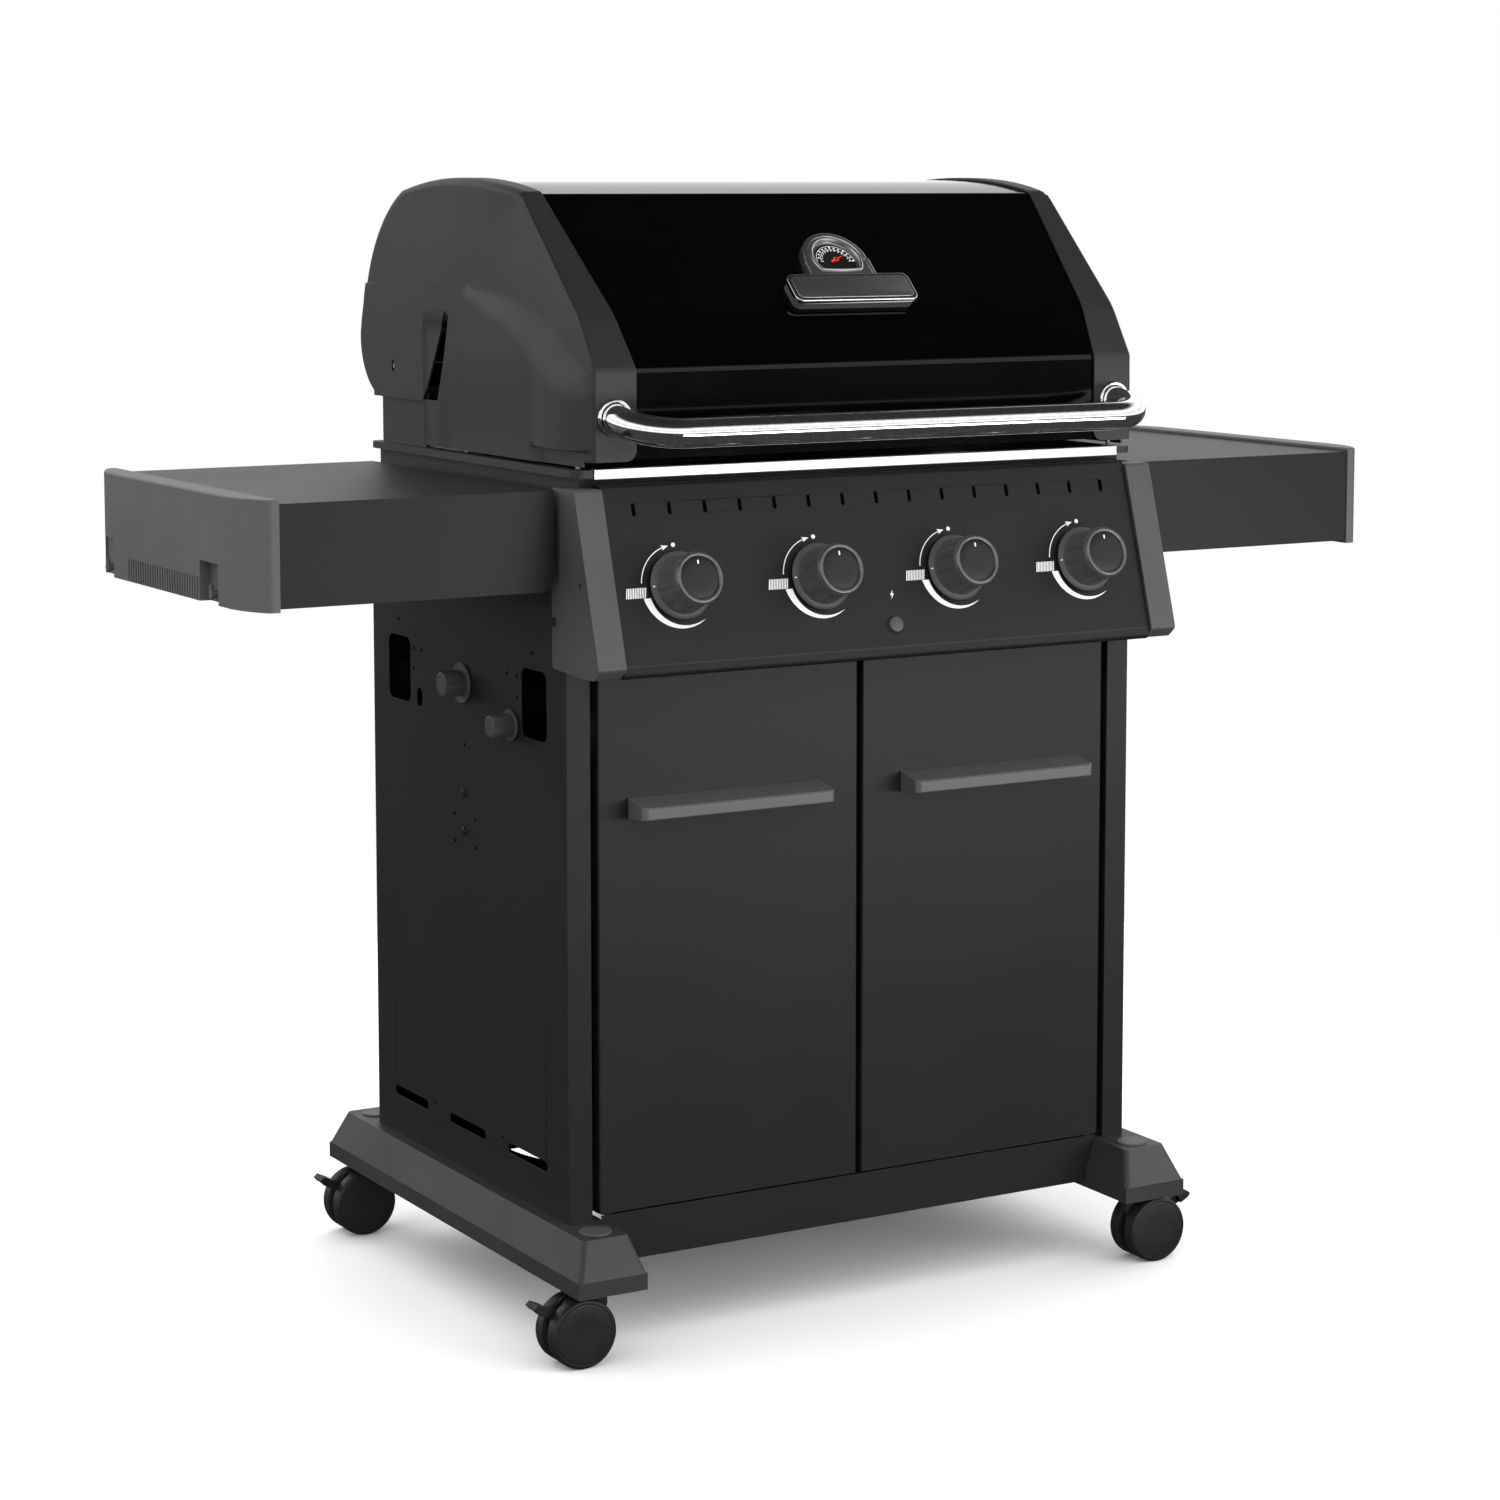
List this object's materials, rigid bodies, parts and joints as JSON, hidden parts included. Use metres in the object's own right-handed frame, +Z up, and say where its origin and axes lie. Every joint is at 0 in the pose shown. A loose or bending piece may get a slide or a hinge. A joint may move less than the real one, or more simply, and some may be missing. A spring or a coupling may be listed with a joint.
{
  "type": "gas barbecue grill",
  "caption": "Free-standing gas barbecue with hinged lid, control knobs, two-door cabinet, fold-down side shelves and swivel casters.",
  "frame": {"origin": "on the floor under the middle of the grill's overall box", "axes": "+Z up, +X towards the right-hand shelf seen from the front, -Y the front with doors and knobs"},
  "size_m": [1.444, 0.6876, 1.264],
  "materials": {
    "powder_coat_black": "fine-textured satin powder coat",
    "cast_aluminium_black": "textured satin black paint on cast aluminium",
    "enamel_black": "high-gloss vitreous enamel",
    "moulded_black": "fine-grained matt moulding",
    "chrome": "polished chrome plate",
    "brushed_trim": "brushed along its length",
    "stainless": "mill-finish stainless steel",
    "cast_iron": "matt seasoned iron",
    "brass": "machined",
    "dial_black": "printed dial",
    "pointer_red": "satin",
    "caster_plastic": "matt nylon"
  },
  "bodies": {
    "cabinet": {"base_beams": "moulded_black", "beam_plugs": "moulded_black", "frame_rails": "powder_coat_black", "cabinet_floor": "powder_coat_black", "side_panel_left": "powder_coat_black", "side_panel_right": "powder_coat_black", "rear_panel": "powder_coat_black", "side_hand_knobs": "moulded_black", "frame_screws": "stainless", "door_hinge_pins": "powder_coat_black", "control_panel": "powder_coat_black", "panel_brackets": "cast_aluminium_black", "gas_manifold": "powder_coat_black", "burner_valves": "brass", "burners": "stainless", "firebox": "cast_aluminium_black", "trim_strip": "brushed_trim", "flame_tamers": "stainless", "cooking_grates": "cast_iron", "shelf_pivot_brackets": "powder_coat_black"},
    "lid": {"lid_panel": "enamel_black", "lid_end_cap_left": "cast_aluminium_black", "lid_end_cap_right": "cast_aluminium_black", "lid_handle": "chrome", "handle_bezels": "chrome", "gauge_housing": "chrome", "gauge_dial": "dial_black", "lid_bolts": "stainless"},
    "gauge_pointer": {"gauge_pointer": "pointer_red"},
    "door_left": {"door_left": "powder_coat_black", "door_handle_left": "moulded_black"},
    "door_right": {"door_right": "powder_coat_black", "door_handle_right": "moulded_black"},
    "igniter_button": {"igniter_button": "moulded_black"},
    "warming_rack": {"warming_rack": "stainless"},
    "grease_tray": {"grease_tray": "stainless"},
    "shelf_left": {"shelf_left": "powder_coat_black", "shelf_cap_left": "moulded_black"},
    "shelf_right": {"shelf_right": "powder_coat_black", "shelf_cap_right": "moulded_black"},
    "valve_stem_1": {"valve_stem_1": "stainless"},
    "knob_1": {"knob_1": "moulded_black"},
    "valve_stem_2": {"valve_stem_2": "stainless"},
    "knob_2": {"knob_2": "moulded_black"},
    "valve_stem_3": {"valve_stem_3": "stainless"},
    "knob_3": {"knob_3": "moulded_black"},
    "valve_stem_4": {"valve_stem_4": "stainless"},
    "knob_4": {"knob_4": "moulded_black"},
    "caster_front_left": {"caster_body_front_left": "caster_plastic"},
    "wheels_front_left": {"caster_wheels_front_left": "caster_plastic"},
    "brake_front_left": {"caster_brake_front_left": "caster_plastic"},
    "caster_front_right": {"caster_body_front_right": "caster_plastic"},
    "wheels_front_right": {"caster_wheels_front_right": "caster_plastic"},
    "brake_front_right": {"caster_brake_front_right": "caster_plastic"},
    "caster_rear_left": {"caster_body_rear_left": "caster_plastic"},
    "wheels_rear_left": {"caster_wheels_rear_left": "caster_plastic"},
    "brake_rear_left": {"caster_brake_rear_left": "caster_plastic"},
    "caster_rear_right": {"caster_body_rear_right": "caster_plastic"},
    "wheels_rear_right": {"caster_wheels_rear_right": "caster_plastic"},
    "brake_rear_right": {"caster_brake_rear_right": "caster_plastic"}
  },
  "joints": [
    {"name": "lid_hinge", "type": "hinge", "parent": "cabinet", "child": "lid", "pos_m": [0, 0.2266, 1.047], "axis": [-1, 0, 0], "range_deg": [0, 80]},
    {"name": "gauge_pointer_turn", "type": "hinge", "parent": "lid", "child": "gauge_pointer", "pos_m": [0, -0.1734, 1.1681], "axis": [0, -0.6936, 0.7203], "range_deg": [-60, 150], "stiffness_Nm_per_rad": 0.001},
    {"name": "door_left_hinge", "type": "hinge", "parent": "cabinet", "child": "door_left", "pos_m": [-0.319, -0.2234, 0.443], "axis": [0, 0, 1], "range_deg": [-100, 0]},
    {"name": "door_right_hinge", "type": "hinge", "parent": "cabinet", "child": "door_right", "pos_m": [0.319, -0.2234, 0.443], "axis": [0, 0, 1], "range_deg": [0, 100]},
    {"name": "igniter_push", "type": "slide", "parent": "cabinet", "child": "igniter_button", "axis": [0, 0.9581, -0.2864], "range_m": [0, 0.004], "stiffness_N_per_m": 400, "springref_m": -0.001},
    {"name": "rack_lift", "type": "slide", "parent": "cabinet", "child": "warming_rack", "axis": [0, 0, 1], "range_m": [0, 0.03]},
    {"name": "tray_slide", "type": "slide", "parent": "cabinet", "child": "grease_tray", "axis": [0, 1, 0], "range_m": [0, 0.35]},
    {"name": "shelf_left_fold", "type": "hinge", "parent": "cabinet", "child": "shelf_left", "pos_m": [-0.395, 0.00135, 0.8453], "axis": [0, 1, 0], "range_deg": [-90, 0]},
    {"name": "shelf_right_fold", "type": "hinge", "parent": "cabinet", "child": "shelf_right", "pos_m": [0.395, 0.00135, 0.8453], "axis": [0, 1, 0], "range_deg": [0, 90]},
    {"name": "knob_turn_1", "type": "hinge", "parent": "cabinet", "child": "valve_stem_1", "pos_m": [-0.2612, -0.28779, 0.834], "axis": [0, -0.9581, 0.2864], "range_deg": [0, 225]},
    {"name": "knob_push_1", "type": "slide", "parent": "valve_stem_1", "child": "knob_1", "axis": [0, 0.9581, -0.2864], "range_m": [0, 0.003], "stiffness_N_per_m": 600, "springref_m": -0.001},
    {"name": "knob_turn_2", "type": "hinge", "parent": "cabinet", "child": "valve_stem_2", "pos_m": [-0.0875, -0.28779, 0.834], "axis": [0, -0.9581, 0.2864], "range_deg": [0, 225]},
    {"name": "knob_push_2", "type": "slide", "parent": "valve_stem_2", "child": "knob_2", "axis": [0, 0.9581, -0.2864], "range_m": [0, 0.003], "stiffness_N_per_m": 600, "springref_m": -0.001},
    {"name": "knob_turn_3", "type": "hinge", "parent": "cabinet", "child": "valve_stem_3", "pos_m": [0.0875, -0.28779, 0.834], "axis": [0, -0.9581, 0.2864], "range_deg": [0, 225]},
    {"name": "knob_push_3", "type": "slide", "parent": "valve_stem_3", "child": "knob_3", "axis": [0, 0.9581, -0.2864], "range_m": [0, 0.003], "stiffness_N_per_m": 600, "springref_m": -0.001},
    {"name": "knob_turn_4", "type": "hinge", "parent": "cabinet", "child": "valve_stem_4", "pos_m": [0.2612, -0.28779, 0.834], "axis": [0, -0.9581, 0.2864], "range_deg": [0, 225]},
    {"name": "knob_push_4", "type": "slide", "parent": "valve_stem_4", "child": "knob_4", "axis": [0, 0.9581, -0.2864], "range_m": [0, 0.003], "stiffness_N_per_m": 600, "springref_m": -0.001},
    {"name": "swivel_front_left", "type": "hinge", "parent": "cabinet", "child": "caster_front_left", "pos_m": [-0.354, -0.2674, 0.1], "axis": [0, 0, 1], "continuous": true},
    {"name": "wheel_spin_front_left", "type": "hinge", "parent": "caster_front_left", "child": "wheels_front_left", "pos_m": [-0.3784, -0.2674, 0.0382], "axis": [0, 1, 0], "continuous": true},
    {"name": "brake_front_left", "type": "hinge", "parent": "caster_front_left", "child": "brake_front_left", "pos_m": [-0.39396, -0.2674, 0.05376], "axis": [0, -1, 0], "range_deg": [0, 20]},
    {"name": "swivel_front_right", "type": "hinge", "parent": "cabinet", "child": "caster_front_right", "pos_m": [0.354, -0.2674, 0.1], "axis": [0, 0, 1], "continuous": true},
    {"name": "wheel_spin_front_right", "type": "hinge", "parent": "caster_front_right", "child": "wheels_front_right", "pos_m": [0.3784, -0.2674, 0.0382], "axis": [0, 1, 0], "continuous": true},
    {"name": "brake_front_right", "type": "hinge", "parent": "caster_front_right", "child": "brake_front_right", "pos_m": [0.39396, -0.2674, 0.05376], "axis": [0, 1, 0], "range_deg": [0, 20]},
    {"name": "swivel_rear_left", "type": "hinge", "parent": "cabinet", "child": "caster_rear_left", "pos_m": [-0.354, 0.2988, 0.1], "axis": [0, 0, 1], "continuous": true},
    {"name": "wheel_spin_rear_left", "type": "hinge", "parent": "caster_rear_left", "child": "wheels_rear_left", "pos_m": [-0.3784, 0.2988, 0.0382], "axis": [0, 1, 0], "continuous": true},
    {"name": "brake_rear_left", "type": "hinge", "parent": "caster_rear_left", "child": "brake_rear_left", "pos_m": [-0.39396, 0.2988, 0.05376], "axis": [0, -1, 0], "range_deg": [0, 20]},
    {"name": "swivel_rear_right", "type": "hinge", "parent": "cabinet", "child": "caster_rear_right", "pos_m": [0.354, 0.2988, 0.1], "axis": [0, 0, 1], "continuous": true},
    {"name": "wheel_spin_rear_right", "type": "hinge", "parent": "caster_rear_right", "child": "wheels_rear_right", "pos_m": [0.3784, 0.2988, 0.0382], "axis": [0, 1, 0], "continuous": true},
    {"name": "brake_rear_right", "type": "hinge", "parent": "caster_rear_right", "child": "brake_rear_right", "pos_m": [0.39396, 0.2988, 0.05376], "axis": [0, 1, 0], "range_deg": [0, 20]}
  ]
}
